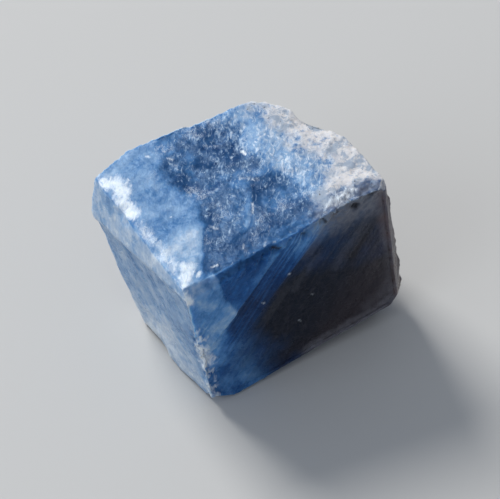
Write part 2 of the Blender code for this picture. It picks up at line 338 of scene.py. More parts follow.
def mainRelief(spots, normals, regions):
    x, y, z = spots.T
    crusted = regions["crust"]
    bands = bandsOf(basalOf(spots), 0.9, 7.0)
    leftBands, frontBands, hiddenBands = (share * bands for share in relief["basalBands"])
    height = relief["broadLump"] * mottle(spots, 3.2, 2)
    # the top, with the raised plate and flake
    scars = relief["topLump"] * mottle(spots, 1.5) + plate["step"] * (regions["plate"] - 1)
    across = regions["pastFlake"]
    flakeShape = ramp(across, -flake["width"], -0.5) * (1 - ramp(across, -0.12, 0.12))
    scars += flake["step"] * regions["alongFlake"] * flakeShape
    height += regions["top"] * (1 - crusted) * scars
    height += crusted * (crust["lump"] * mottle(spots, 1.1) + crust["grain"] * mottle(spots * 1.7, 0.7))
    # the left face: hollow below the bevel, with a ledge at its foot
    underBevel = belowBevel(spots)
    hollow = relief["leftHollow"] * ramp(underBevel, 0.1, 0.5) * (1 - ramp(underBevel, 1.0, 4.0))
    ledge = relief["leftLedge"] * ramp(y, 1.2, 3.2) * (1 - ramp(y, 6.5, 8.2)) * ramp(-z, 7.6, 8.7)
    height += regions["left"] * (leftBands - hollow + ledge)
    # the front: basal plates end in low steps, and a thin slab is left standing at the lower left
    slant = slantOf(spots)
    plates = frontBands
    depthSoFar = 0
    for distance, depth in steps["front"]:
        plates -= (depth - depthSoFar) * ramp(slant, distance - 0.07, distance + 0.07)
        depthSoFar = depth
    slanted = math.radians(slab["rise"])
    overTip = (x - slab["tip"][0]) * math.cos(slanted) + (z - slab["tip"][1]) * math.sin(slanted)
    onSlab = (1 - ramp(overTip, -0.1, 0.1)) * (1 - ramp(slant, firstLine - 0.15, firstLine))
    onSlab *= ramp(z, slab["lowest"], slab["lowest"] + 1)
    plates += slab["slope"] * x * onSlab
    height += ramp(-normals[:, 1], 0.8, 0.95) * plates
    # the faces that the camera doesn't see
    height += regions["hidden"] * ramp(-z, 0.2, 1.6) * (hiddenBands + relief["hiddenLump"] * mottle(spots, 1.6))
    # the underside, which comes down to the floor at the spot that the stone rests on
    fromSpot = np.hypot(x - stone["restSpot"][0], y - stone["restSpot"][1]) + 0.8 * mottle(spots, 2.2)
    rest = 2 * stone["undersideClear"] * (1 - ramp(fromSpot, *stone["restSpotSize"]))
    height += ramp(-normals[:, 2], 0.9, 0.97) * (relief["undersideLump"] * mottle(spots, 1.2) + rest)
    for centre, radius, depth in chips:
        reach = np.linalg.norm(spots - np.array(centre), axis=1) / radius
        inside = reach < 1
        broken = mottle(spots[inside] + np.array(centre), radius * 0.6)
        broken = reach[inside] + 0.45 * broken * (1 - reach[inside])
        height[inside] -= depth * (1 - ramp(broken, 0.35, 1.0))
    return height


def breakSplinters(spots):
    for place, up, down in splinters:
        away = spots - np.array(place)
        near = np.linalg.norm(away, axis=1) < splinterReach
        up, down = (np.array(Vector(way).normalized()) for way in (up, down))
        over, under = away @ up, away @ down
        toFloor = near & (over > 0) & (under >= over)
        toRoof = near & (under > 0) & (over > under)
        spots[toFloor] -= over[toFloor, None] * up
        spots[toRoof] -= under[toRoof, None] * down


def fineRelief(spots, regions, scuffAndGlintShare):
    crusted = regions["crust"]
    rough = regions["top"] * (1 - crusted) * (1 - 0.6 * regions["plate"])
    height = rough * (facets(spots, *relief["topFacet"]) + facets(spots, *relief["topChip"]))
    height += crusted * facets(spots, *relief["crustGrain"]) + scuffAndGlintShare * facets(spots, *relief["scuffGrain"])
    height += regions["nearEdge"] * facets(spots, *relief["nearEdgeGrain"])
    height += regions["longEdge"] * facets(spots, *relief["longEdgeGrain"])
    height += (1 - regions["top"]) * relief["striation"] * bandsOf(basalOf(spots), 0.22, 4.4)
    return height + relief["skin"] * mottle(spots, 0.4, 2)


# Marks on the seen faces: a path in millimetres, how wide it is each way, and how strong.
topMarks = {
    "veil": (
        (((0.9, 3.0), (1.6, 3.3), (2.5, 3.3)), 0.45, 0.75),
        (((1.2, 2.2), (2.1, 2.4)), 0.45, 0.6),
        (((1.0, 1.6), (1.9, 2.1)), 0.4, 0.55),
        (((3.6, 7.4), (4.2, 8.6)), 0.28, 0.45),
        (((3.9, 6.8), (4.5, 6.4), (5.2, 6.6)), 0.25, 0.35),
        (((6.8, 4.7), (7.8, 4.6), (8.6, 4.9)), 0.25, 0.5),
        (((2.6, 4.9), (3.6, 5.5)), 0.3, 0.3),
        (((4.4, 7.0), (5.0, 7.9)), 0.22, 0.5),
        (((4.3, 9.4), (5.2, 9.6)), 0.25, 0.35),
        (((5.0, 5.8), (5.8, 5.9), (6.3, 5.4)), 0.3, 0.4),
        (((7.9, 7.3), (8.0, 6.2), (8.1, 5.3)), 0.3, 0.55),
        (((8.2, 4.5), (9.0, 4.7), (8.7, 5.6)), 0.35, 0.6),
        (((5.9, 3.2), (5.5, 2.5), (5.0, 1.9)), 0.2, 0.5),
        (((4.9, 4.5), (5.8, 4.6)), 0.4, 0.45),
        (((6.5, 2.4), (7.6, 2.7), (8.4, 2.2)), 0.35, 0.35),
        (((8.7, 3.6), (8.8, 2.8), (9.2, 2.2)), 0.3, 0.5),
        (((8.3, 9.2), (8.6, 8.0), (8.8, 7.0)), 0.5, 0.5),
        (((9.2, 6.4), (9.3, 5.4)), 0.4, 0.5),
        (((2.9, 9.3), (3.6, 9.0)), 0.3, 0.35),
        (((0.6, 9.6), (1.8, 9.8)), 0.3, 0.4),
        (((9.0, 4.2), (9.6, 3.4), (10.2, 3.0)), 0.5, 0.35),
    ),
    "deep": (
        (((3.5, 3.6), (4.2, 4.3), (5.2, 4.6)), 0.5, 0.9),
        (((3.6, 8.0), (3.4, 7.2), (4.0, 6.2)), 0.55, 0.85),
        (((4.2, 5.2), (5.2, 5.4)), 0.35, 0.7),
        (((5.3, 6.3), (6.0, 7.0), (7.0, 7.4), (7.6, 8.2)), 0.7, 0.95),
        (((6.2, 8.9), (7.2, 8.9)), 0.45, 0.85),
        (((5.2, 8.6), (5.6, 7.6)), 0.4, 0.8),
        (((6.0, 6.2), (6.8, 5.7), (7.6, 5.6)), 0.45, 0.85),
        (((6.3, 3.6), (7.4, 3.8), (8.4, 3.5)), 0.5, 0.62),
        (((7.0, 1.8), (6.2, 1.4), (6.0, 2.2)), 0.45, 0.75),
        (((2.3, 1.8), (3.0, 2.4), (4.0, 2.2), (3.2, 1.3)), 0.5, 0.7),
        (((1.5, 0.75), (2.6, 0.9)), 0.25, 0.5),
        (((3.2, 1.1), (5.2, 1.2)), 0.5, 0.7),
        (((6.2, 1.2), (7.8, 1.4)), 0.5, 0.7),
        (((0.2, 5.8), (0.4, 5.6)), 0.25, 0.8),
        (((7.8, 1.6), (8.4, 1.9)), 0.4, 0.5),
    ),
    "shade": (
        (((8.4, 0.3), (9.6, 0.55), (10.8, 0.5), (11.8, 0.3)), 0.45, 0.8),
        (((9.8, 1.0), (10.3, 1.05)), 0.15, 0.7),
    ),
    "scuffAndGlint": (
        (((0.3, 8.9), (0.9, 8.7), (0.7, 7.9)), 0.48, 1.0),
        (((0.6, 8.0), (0.55, 7.2), (0.6, 6.4)), 0.38, 0.95),
        (((0.5, 5.6), (0.45, 4.4), (0.6, 3.2)), 0.3, 0.62),
        (((0.3, 3.0), (0.6, 2.5), (0.5, 1.9)), 0.3, 0.6),
        (((0.2, 0.3), (0.6, 0.9), (1.1, 1.4)), 0.35, 0.95),
        (((0.9, 1.8), (1.2, 1.3)), 0.2, 0.8),
        # From here down to the last but one, these are small painted glints.
        (((6.2, 4.95), (6.6, 4.65), (7.0, 4.25)), 0.12, 0.38),
        (((7.35, 6.55), (7.35, 6.15)), 0.09, 1.0),
        (((3.5, 3.05), (3.62, 2.85)), 0.08, 0.65),
        (((8.2, 6.6), (8.25, 6.45)), 0.06, 0.9),
        (((5.95, 3.1), (5.65, 2.55)), 0.05, 0.85),
        (((2.0, 5.0), (2.1, 4.95)), 0.05, 0.85),
        (((3.9, 8.5), (4.05, 8.25)), 0.06, 0.7),
        (((1.2, 0.75), (1.4, 0.9)), 0.12, 0.9),
        (((2.1, 0.85), (2.4, 0.78)), 0.07, 0.8),
        (((4.0, 0.9), (4.2, 1.1)), 0.06, 0.45),
        (((4.95, 0.3), (5.4, 0.7), (5.85, 1.2)), 0.1, 0.32),
        (((4.0, 0.6), (4.15, 0.8)), 0.1, 0.28),
        (((5.05, 2.0), (5.5, 2.5), (5.95, 3.2)), 0.07, 0.38),
        (((3.05, 9.3), (3.15, 9.15)), 0.07, 0.8),
        (((8.95, 6.5), (9.05, 6.3)), 0.06, 0.9),
        (((9.3, 6.1), (9.35, 5.95)), 0.06, 0.9),
        (((9.0, 0.6), (10.2, 0.5), (10.6, 0.7)), 0.3, 0.6),
    ),
}
frontMarks = {
    "veil": (
        (((0.2, -0.5), (0.8, -1.3), (1.6, -2.4)), 0.3, 0.35),
        (((0.9, -3.6), (1.6, -3.6), (2.2, -3.5)), 0.45, 0.5),
        (((0.7, -4.6), (1.1, -5.4)), 0.4, 0.4),
        (((1.9, -2.4), (2.3, -3.4)), 0.35, 0.45),
        (((6.3, -1.5), (7.0, -0.9)), 0.35, 0.25),
        (((0.3, -8.0), (1.4, -8.6)), 0.5, 0.2),
    ),
    "hazeAndPaintedLight": (
        (((8.8, -0.5), (9.8, -0.8), (11.4, -0.9)), 1.0, 1.0),
        (((7.2, -2.2), (8.6, -0.9)), 0.35, 0.32),
        (((9.6, -1.9), (10.8, -0.9)), 0.4, 0.5),
        (((8.6, -4.6), (10.6, -2.6), (11.4, -1.7)), 0.25, 0.22),
        (((6.0, -4.4), (7.6, -2.9)), 0.25, 0.2),
        (((4.2, -5.4), (5.6, -4.0)), 0.25, 0.14),
        # The last three are painted light on the lower and right rims, which catch light from the floor.
        (((9.8, -9.2), (11.0, -8.9), (11.6, -8.0)), 0.4, 0.35),
        (((11.95, -1.6), (11.95, -6.6), (11.9, -8.8)), 0.4, 0.6),
        (((11.9, -8.6), (11.5, -9.6), (10.2, -9.9), (6.0, -9.95)), 0.4, 0.85),
    ),
    "scuffAndGlint": (
        # The chip on the near edge: white broken stone, made brighter with a painted glint.
        (((0.1, -4.8), (0.25, -5.4), (0.4, -6.2)), 0.36, 0.8),
        (((0.1, -0.05), (0.12, -0.6)), 0.32, 0.9),
        (((0.05, -7.0), (0.1, -7.3)), 0.12, 0.8),
        (((0.1, -8.4), (0.2, -8.7)), 0.12, 0.7),
        # The four small marks below are painted glints.
        (((5.85, -2.95), (5.95, -3.05)), 0.07, 0.6),
        (((4.05, -3.95), (4.15, -4.1)), 0.06, 0.5),
        (((6.85, -5.6), (6.95, -5.7)), 0.06, 0.5),
        (((5.85, -7.1), (5.95, -7.3)), 0.06, 0.5),
    ),
    "pit": (
        (((5.35, -0.32), (5.6, -0.52)), 0.12, 0.95),
        (((7.1, -0.65), (7.3, -0.85)), 0.1, 0.7),
        (((8.4, -0.2), (8.5, -0.55)), 0.1, 0.8),
        (((10.2, -0.7), (10.4, -0.85)), 0.15, 0.9),
        (((9.2, -0.35), (9.3, -0.4)), 0.08, 0.8),
        (((11.2, -0.5), (11.4, -0.5)), 0.12, 0.7),
    ),
    "deep": (
        (((2.0, -4.8), (1.4, -5.9)), 0.3, 0.4),
    ),
}
leftScuffsAndGlints = (
    # The same chip on the left: white broken stone, made brighter with a painted glint.
    (((0.1, -5.0), (0.15, -5.6), (0.1, -6.2)), 0.45, 1.0),
    (((0.1, -0.1), (0.15, -0.5)), 0.3, 0.7),
    (((0.6, -8.7), (2.2, -9.0), (4.2, -9.0)), 0.4, 0.55),
    (((1.2, -7.9), (1.9, -8.3)), 0.3, 0.45),
    (((5.0, -8.4), (6.4, -7.9)), 0.4, 0.4),
)

# The front's smooth plates run up over the top edge: where along the edge, and how far.
smoothStrip = (
    (1.0, 0.0), (1.35, 0.72), (2.3, 0.45), (3.4, 0.45), (4.0, 0.68), (4.4, 0.88), (4.8, 0.3), (5.3, 0.65),
    (5.9, 1.15), (6.5, 0.85), (7.2, 0.65), (8.2, 0.0),
)


def fromPath(across, along, path):  # distance to the nearest point of a path
    nearest = np.full(len(across), 1e9)
    for (x0, y0), (x1, y1) in zip(path, path[1:]):
        runX, runY = x1 - x0, y1 - y0
        share = np.clip(((across - x0) * runX + (along - y0) * runY) / (runX ** 2 + runY ** 2), 0, 1)
        nearest = np.minimum(nearest, np.hypot(across - x0 - share * runX, along - y0 - share * runY))
    return nearest


def paint(across, along, marks, warp, softness=0.6):
    share = np.zeros(len(across))
    for path, width, strength in marks:
        reach = fromPath(across, along, path) / width + warp
        share = np.maximum(share, strength * (1 - ramp(reach, 1 - softness, 1 + softness)))
    return share


def edgeDistance(spots):  # how far each spot is from the nearest edge between two flat faces
    depths = []
    for point, bearing, rise in faces.values():
        outward = np.array(facing(bearing, rise))
        depths.append((np.array(point) - spots) @ outward)
    return np.sort(np.abs(np.array(depths)), axis=0)[1]


# How milky each part of the stone is, from 0, clear and deep blue, to 1, milky white. Names that start with
# "add" raise or lower it there; the ones with painted glow or painted shade in their names are light, not
# milkiness.
milkinessAndPaintedLight = {
    "top": {
        "all": 0.34, "addPlate": 0.25, "addPlateFront": 0.05, "addNearCrust": 0.19, "addVeil": 0.26,
        "addDeep": -0.21, "addOnFlake": 0.13, "addPastFlake": -0.06,
    },
    "front": {
        "slab": 0.69, "addSlabFoot": -0.13, "plate": 0.45, "addPlateMiddle": -0.05, "addPlateRim": 0.18,
        "band": 0.41, "addBandRim": 0.36, "addBandTop": 0.14, "addVeil": 0.3, "addDeep": -0.3,
        "addFootPaintedGlow": 0.36, "addBandLow": -0.1, "addPaintedShadeFacingUp": -0.14,
    },
    "left": {"all": 0.78, "addPaintedShadeBelowBevel": -0.08, "addFoot": 0.18, "addNearEdge": -0.16, "addBevel": -0.02},
    "hidden": {"all": 0.5, "addTopRim": 0.25},
}
mottlingSizes = {"broad": 2.4, "middling": 0.9, "small": 0.32, "layers": 0.5}


def findMottling(spots):  # the noises that the parts of the surface share
    middling = mottle(spots, mottlingSizes["middling"], 3, (5, 0, 0))
    small = mottle(spots, mottlingSizes["small"], 3, (0, 9, 0))
    return {
        "broad": mottle(spots, mottlingSizes["broad"]),
        "middling": middling,
        "small": small,
        "layers": bandsOf(basalOf(spots), mottlingSizes["layers"], 5.0),
        "warp": 0.5 * middling + 0.35 * small,
    }


def paintTop(spots, regions, mottling):  # a pale plate, a deeper break, milky towards the crust
    x, y = spots[:, 0], spots[:, 1]
    level = milkinessAndPaintedLight["top"]
    onPlate = regions["top"] * regions["plate"]
    milky = ramp(x + 0.25 * y, 8.6, 9.6) * ramp(y, 0.6, 2.0)
    tone = level["all"] + level["addPlate"] * onPlate
    tone = tone + level["addPlateFront"] * ramp(-y, -4.2, -2.4) * onPlate + level["addNearCrust"] * milky
    tone += level["addVeil"] * paint(x, y, topMarks["veil"], mottling["warp"], 0.9)
    tone += level["addDeep"] * paint(x, y, topMarks["deep"], mottling["warp"], 0.9)
    tone += 0.09 * mottling["middling"] + 0.06 * mottling["small"]
    past = regions["pastFlake"]
    beside = level["addOnFlake"] * ramp(past, -1.4, -0.1) * (1 - ramp(past, -0.05, 0.07))
    beside += level["addPastFlake"] * ramp(past, 0.0, 0.1) * (1 - ramp(past, 0.3, 1.0))
    tone += regions["alongFlake"] * beside
    frost = regions["top"] * (0.62 - 0.3 * onPlate + 0.25 * milky)
    return tone, frost


def paintFront(spots, regions, mottling):  # a slab, a deep plate with a paler rim, a layered band, then smoke
    # The paler slab by the near edge and the paler front along the top edge are partly painted glow of light
    # shining through the stone.
    x, z = spots[:, 0], spots[:, 2]
    down = -z
    level = milkinessAndPaintedLight["front"]
    broad, middling, small, layers, warp = mottling.values()
    slant = slantOf(spots)
    pastFirst = ramp(slant, firstLine - 0.06, firstLine + 0.04) * ramp(x + 0.3 * middling, 1.5, 2.2)
    pastSecond = ramp(slant, secondLine - 0.07, secondLine + 0.08)
    inBand = pastFirst * (1 - pastSecond)
    pastSlab = x - slab["edge"] - slab["flare"] * np.maximum(down - slab["flareFrom"], 0) + 0.08 * small
    offSlab = ramp(pastSlab, -0.05, 0.12)
    slabTone = level["slab"] + 0.08 * middling + 0.05 * small + level["addSlabFoot"] * ramp(down, 5.0, 7.5)
    plateTone = level["plate"] + level["addPlateMiddle"] * ramp(slant, 3.9, 4.2)
    plateTone += level["addPlateRim"] * ramp(slant, 5.3, 6.2) * (1 - 0.7 * ramp(down, 1.4, 3.0))
    bandTone = level["band"] + level["addBandRim"] * ramp(slant, 6.9, 8.8) * (1 - ramp(down, 0.5, 2.8))
    bandTone += level["addBandTop"] * (1 - ramp(down, 0.0, 1.2))
    tone = slabTone + (plateTone - slabTone) * offSlab * (1 - ramp(down, 3.6, 4.4) * (1 - pastFirst))
    tone += (bandTone - tone) * pastFirst + 0.05 * layers + 0.03 * middling
    tone += level["addVeil"] * paint(x, z, frontMarks["veil"], warp)
    tone += level["addDeep"] * paint(x, z, frontMarks["deep"], warp)
    # Painted glow at the foot, where light shines through the stone.
    paintedGlow = (1 - ramp(x + 0.35 * (z + 9.5) + 0.35 * broad, 1.0, 6.6)) * ramp(down, 4.0, 6.8)
    tone += level["addFootPaintedGlow"] * paintedGlow * pastFirst
    tone += level["addBandLow"] * pastFirst * ramp(down, 0.6, 2.6) * (1 - paintedGlow)
    # Painted shade: the front's up-facing edges are darkened, as they catch more light.
    tone += level["addPaintedShadeFacingUp"] * regions["facingUp"] * ramp(x, 0.9, 1.5)
    # The smoke is partly dark stone and partly painted shade on the shaded front.
    smokeAndShade = pastFirst * (0.5 - 0.22 * ramp(down, 3.0, 4.4)) * ramp(down - 0.35 * x, 0.6, 2.6) * (1 - paintedGlow)
    bluish = (1 - ramp(slant, 9.6, 11.4)) * (1 - ramp(down, 1.2, 2.8))
    pastSecond += (ramp(slant, 8.2, 10.8) - pastSecond) * ramp(down, 2.2, 4.6)  # the line fades lower down
    smokeAndShade += pastSecond * (0.78 + 0.15 * broad - 0.4 * bluish) * (1 - 0.8 * paintedGlow)
    smokeAndShade = np.clip(smokeAndShade + 0.1 * layers * pastFirst, 0, 0.97)
    return tone, smokeAndShade, inBand


def paintLeft(spots, mottling):
    y, z = spots[:, 1], spots[:, 2]
    level = milkinessAndPaintedLight["left"]
    middling = mottling["middling"]
    under = belowBevel(spots)
    tone = level["all"] + 0.1 * middling + 0.1 * mottling["broad"] + 0.08 * mottling["small"]
    # Painted shade in the band under the bevel's lip.
    tone += level["addPaintedShadeBelowBevel"] * ramp(under, 0.0, 0.3) + level["addBevel"] * ramp(-under, -0.2, 0.1)
    nearEdge = (1 - ramp(y + 0.3 * middling, 0.2, 2.0)) * ramp(-z, 2.0, 4.5)
    return tone + level["addFoot"] * ramp(-z, 5.0, 8.2) + level["addNearEdge"] * nearEdge


# Scuffs and worn edges, with painted glints among the small marks.
def findScuffsAndGlints(spots, regions, mottling, smokeAndShade):
    x, y, z = spots.T
    middling, small, warp = (mottling[name] for name in ("middling", "small", "warp"))
    worn = 1 - ramp(edgeDistance(spots) + 0.25 * middling + 0.12 * small, 0.03, 0.32)
    edges = 0.5 * worn * ramp(small + 0.4 * middling, -0.1, 0.5) * (1 - 0.6 * regions["front"]) * (1 - smokeAndShade)
    scuffsAndGlints = (
        regions["top"] * paint(x, y, topMarks["scuffAndGlint"], warp, 0.95),
        regions["front"] * paint(x, z, frontMarks["scuffAndGlint"], warp, 0.8),
        regions["left"] * paint(y, z, leftScuffsAndGlints, warp, 0.9),
        edges,
        0.75 * regions["nearEdge"] * ramp(small, -0.15, 0.3),
    )
    return np.maximum.reduce(scuffsAndGlints)


def paintStone(spots, regions):
    x, y, z = spots.T
    top, front, left, hidden = (regions[name] for name in ("top", "front", "left", "hidden"))
    other = 1 - top - front - left
    mottling = findMottling(spots)
    broad, middling, small, layers, warp = mottling.values()

    topTone, frost = paintTop(spots, regions, mottling)
    frontTone, frontSmokeAndShade, inBand = paintFront(spots, regions, mottling)
    leftTone = paintLeft(spots, mottling)
    hiddenTone = milkinessAndPaintedLight["hidden"]["all"] + 0.1 * layers + 0.1 * broad + 0.08 * middling
    hiddenTone += milkinessAndPaintedLight["hidden"]["addTopRim"] * ramp(z, -0.9, -0.2)
    strip = top * ramp(np.interp(x, *zip(*smoothStrip)) - y + 0.3 * small + 0.2 * middling, -0.16, 0.2)
    topTone += (0.55 * frontTone + 0.16 - topTone) * strip
    frost *= (1 - 0.55 * strip) * (0.6 + 0.4 * ramp(y, 0.3, 1.8))
    frost += 0.16 * top * ramp(x - 0.3 * y, 6.6, 8.6) + 0.14 * left + 0.35 * hidden
    hiddenSmoke = 0.8 * ramp(x + 0.8 * broad, 9.5, 12.0)
    smokeAndShade = front * frontSmokeAndShade + other * hiddenSmoke * (1 - regions["crust"])

    pastLine = ramp(pastEdge(spots, crust["edge"]) + 0.6 * middling + 0.3 * small, -2.2, 0.8)
    crustShare = pastLine * ramp(z + 1.2 + 0.4 * middling, 0.0, 0.5) * (1 - front)
    shade = top * paint(x, y, topMarks["shade"], warp, 0.9)
    stain = ramp(x + 0.35 * broad, 11.2, 12.0) * (1 - top) * (0.42 + 0.3 * middling)
    return {
        "tone": top * topTone + front * frontTone + left * leftTone + other * hiddenTone,
        "clear": front * (1 - 0.8 * regions["facingUp"]),
        "smokeAndShade": smokeAndShade,
        # Haze on the front, partly painted rim light, with the painted shade on the top added in.
        "hazeAndPaintedLight": front * paint(x, z, frontMarks["hazeAndPaintedLight"], 0.8 * warp, 0.8) + shade,
        "stain": np.maximum(stain, 0.16 * ramp(basalOf(spots) + 1.2 * broad, 12.5, 18.0) * front),
        "pit": front * paint(x, z, frontMarks["pit"], 1.2 * small, 0.8),
        "frost": frost,
        "scuffAndGlint": findScuffsAndGlints(spots, regions, mottling, smokeAndShade),
        "crust": np.maximum(crustShare, regions["crust"] * other) * (1 - shade),
        "layered": 0.2 + 0.6 * inBand,
        "basal": basalOf(spots),
    }


def workSurface(block):
    spots, normals = readMesh(block.data)
    regions = findRegions(spots, normals)
    painted = paintStone(spots, regions)
    for name, values in painted.items():
        layer = block.data.attributes.new(name, "FLOAT", "POINT")
        layer.data.foreach_set("value", values.astype(np.float32))
    spots += normals * mainRelief(spots, normals, regions)[:, None]
    breakSplinters(spots)
    block.data.vertices.foreach_set("co", spots.ravel())
    block.data.update()
    spots, normals = readMesh(block.data)
    spots += normals * fineRelief(spots, regions, painted["scuffAndGlint"])[:, None]
    block.data.vertices.foreach_set("co", spots.ravel())
    block.data.update()


workSurface(block)
print("relief and marks worked")


def layDown(block):
    shape = bmesh.new()
    shape.from_mesh(block.data)
    bmesh.ops.rotate(shape, matrix=leanTurn(), verts=shape.verts)
    everything = shape.verts[:] + shape.edges[:] + shape.faces[:]
    cut = bmesh.ops.bisect_plane(
        shape, geom=everything, plane_co=(0, 0, -stone["restDepth"]), plane_no=(0, 0, -1),
        dist=stone["flatness"], clear_outer=True,
    )
    rim = [edge for edge in cut["geom_cut"] if isinstance(edge, bmesh.types.BMEdge)]
    spot = bmesh.ops.contextual_create(shape, geom=rim)["faces"]
    bmesh.ops.triangulate(shape, faces=spot)
    for vert in shape.verts:
        if vert.co.z < stone["flatness"] - stone["restDepth"]:
            vert.co.z = -stone["restDepth"]
    places = np.array([vert.co for vert in shape.verts])
    middle = (places.min(axis=0) + places.max(axis=0)) / 2
    cadMiddle = (cadBox[0] + cadBox[1]) / 2 / metres  # the stone sits in the middle of its CAD box
    apex = Vector((cadMiddle.x - middle[0], cadMiddle.y - middle[1], stone["restDepth"]))
    bmesh.ops.translate(shape, vec=apex, verts=shape.verts)
    bmesh.ops.transform(shape, matrix=Matrix.Scale(metres, 4), verts=shape.verts)
    for face in shape.faces:
        face.smooth = True
    shape.to_mesh(block.data)
    shape.free()
    return apex * metres


apex = layDown(block)
print("stone laid down, apex corner at", [round(value, 5) for value in apex])

tones = (  # linear colours from clear to milky
    (0.00, (0.008, 0.040, 0.130)),
    (0.30, (0.026, 0.092, 0.232)),
    (0.50, (0.062, 0.180, 0.395)),
    (0.72, (0.235, 0.380, 0.585)),
    (0.88, (0.440, 0.545, 0.680)),
    (1.00, (0.640, 0.720, 0.800)),
)
clearTones = (
    (0.00, (0.006, 0.022, 0.090)),
    (0.30, (0.011, 0.062, 0.210)),
    (0.50, (0.029, 0.136, 0.385)),
    (0.72, (0.118, 0.315, 0.645)),
    (1.00, (0.420, 0.600, 0.800)),
)
# Of these, smoke is partly painted shade, haze partly painted rim light and shade, and sparkle and scuff partly
# painted glints.
colours = {
    "smokeAndShade": (0.008, 0.009, 0.014, 1),
    "smokePale": (0.052, 0.047, 0.056, 1),
    "hazeAndPaintedLight": (0.190, 0.195, 0.225, 1),
    "stain": (0.170, 0.105, 0.085, 1),
    "pit": (0.014, 0.012, 0.016, 1),
    "frost": (0.300, 0.420, 0.580, 1),
    "paleCrackAndGlint": (0.680, 0.750, 0.830, 1),
    "scuffAndGlint": (0.870, 0.935, 0.985, 1),
    "crustPale": (0.760, 0.730, 0.710, 1),
    "crustGrey": (0.270, 0.345, 0.450, 1),
    "crustPit": (0.120, 0.110, 0.115, 1),
}
grainScales = {  # lumps per metre
    "cloud": 950,
    "fine": 4200,
    "fleck": 1900,
    "hairs": (1100, 1500),
    "crust": 2600,
    "crustPits": 5200,
}
body = {  # the same all over the stone; light goes half a millimetre or so into it
    "IOR": 1.77,
    "Specular IOR Level": 0.09,
    "Specular Tint": (0.45, 0.72, 1.0, 1),
    "Subsurface Weight": 0.6,
    "Subsurface Radius": (0.4, 0.45, 0.5),
    "Subsurface Scale": metres,
}


class Wiring:  # short names for the nodes that a material is wired from
    def __init__(self, material):
        self.tree = material.node_tree
        self.place = self.node("ShaderNodeTexCoord").outputs["Object"]

    def node(self, kind, **settings):
        made = self.tree.nodes.new(kind)
        for name, value in settings.items():
            setattr(made, name, value)
        return made

    def feed(self, socket, value):
        if isinstance(value, bpy.types.NodeSocket):
            self.tree.links.new(value, socket)
        else:
            socket.default_value = value

    def attribute(self, name):
        return self.node("ShaderNodeAttribute", attribute_name=name).outputs["Fac"]

    def math(self, operation, *values):
        made = self.node("ShaderNodeMath", operation=operation)
        for socket, value in zip(made.inputs, values):
            self.feed(socket, value)
        return made.outputs[0]

    def noise(self, scale, detail=3.0, roughness=0.6, distortion=0.0, stretch=None):
        place = self.place
        if stretch:
            turned = self.node("ShaderNodeMapping")
            self.feed(turned.inputs["Vector"], place)
            turned.inputs["Rotation"].default_value = (0.0, 0.0, math.radians(stretch[0]))
            turned.inputs["Scale"].default_value = (stretch[1], 1.0, 1.0)
            place = turned.outputs[0]
        made = self.node("ShaderNodeTexNoise")
        self.feed(made.inputs["Vector"], place)
        settings = {"Scale": scale, "Detail": detail, "Roughness": roughness, "Distortion": distortion}
        for name, value in settings.items():
            made.inputs[name].default_value = value
        return made.outputs["Fac"]

    def ridges(self, scale, distortion, stretch):  # thin bent lines where a noise passes its middle
        away = self.math("SUBTRACT", self.noise(scale, 5, 0.7, distortion, stretch), 0.5)
        return self.reach(self.math("ABSOLUTE", away), 0.0, 0.024, (1.0, 0.0))

    def lines(self, value, scale):  # noise along one number
        made = self.node("ShaderNodeTexNoise", noise_dimensions="1D")
        self.feed(made.inputs["W"], value)
        made.inputs["Scale"].default_value = scale
        made.inputs["Detail"].default_value = 3.0
        return made.outputs["Fac"]

    def reach(self, value, low, high, out=(0.0, 1.0)):
        made = self.node("ShaderNodeMapRange", interpolation_type="SMOOTHSTEP")
        for socket, number in zip(made.inputs, (value, low, high, *out)):
            self.feed(socket, number)
        return made.outputs[0]

    def blend(self, share, first, second):
        made = self.node("ShaderNodeMix", data_type="RGBA")
        for place, value in ((0, share), (6, first), (7, second)):
            self.feed(made.inputs[place], value)
        return made.outputs[2]

    def scale(self, value, stops):
        made = self.node("ShaderNodeValToRGB")
        self.feed(made.inputs[0], value)
        for place, colour in stops[1:-1]:
            made.color_ramp.elements.new(place)
        for element, (place, colour) in zip(made.color_ramp.elements, stops):
            element.position = place
            element.color = (*colour, 1)
        return made.outputs[0]


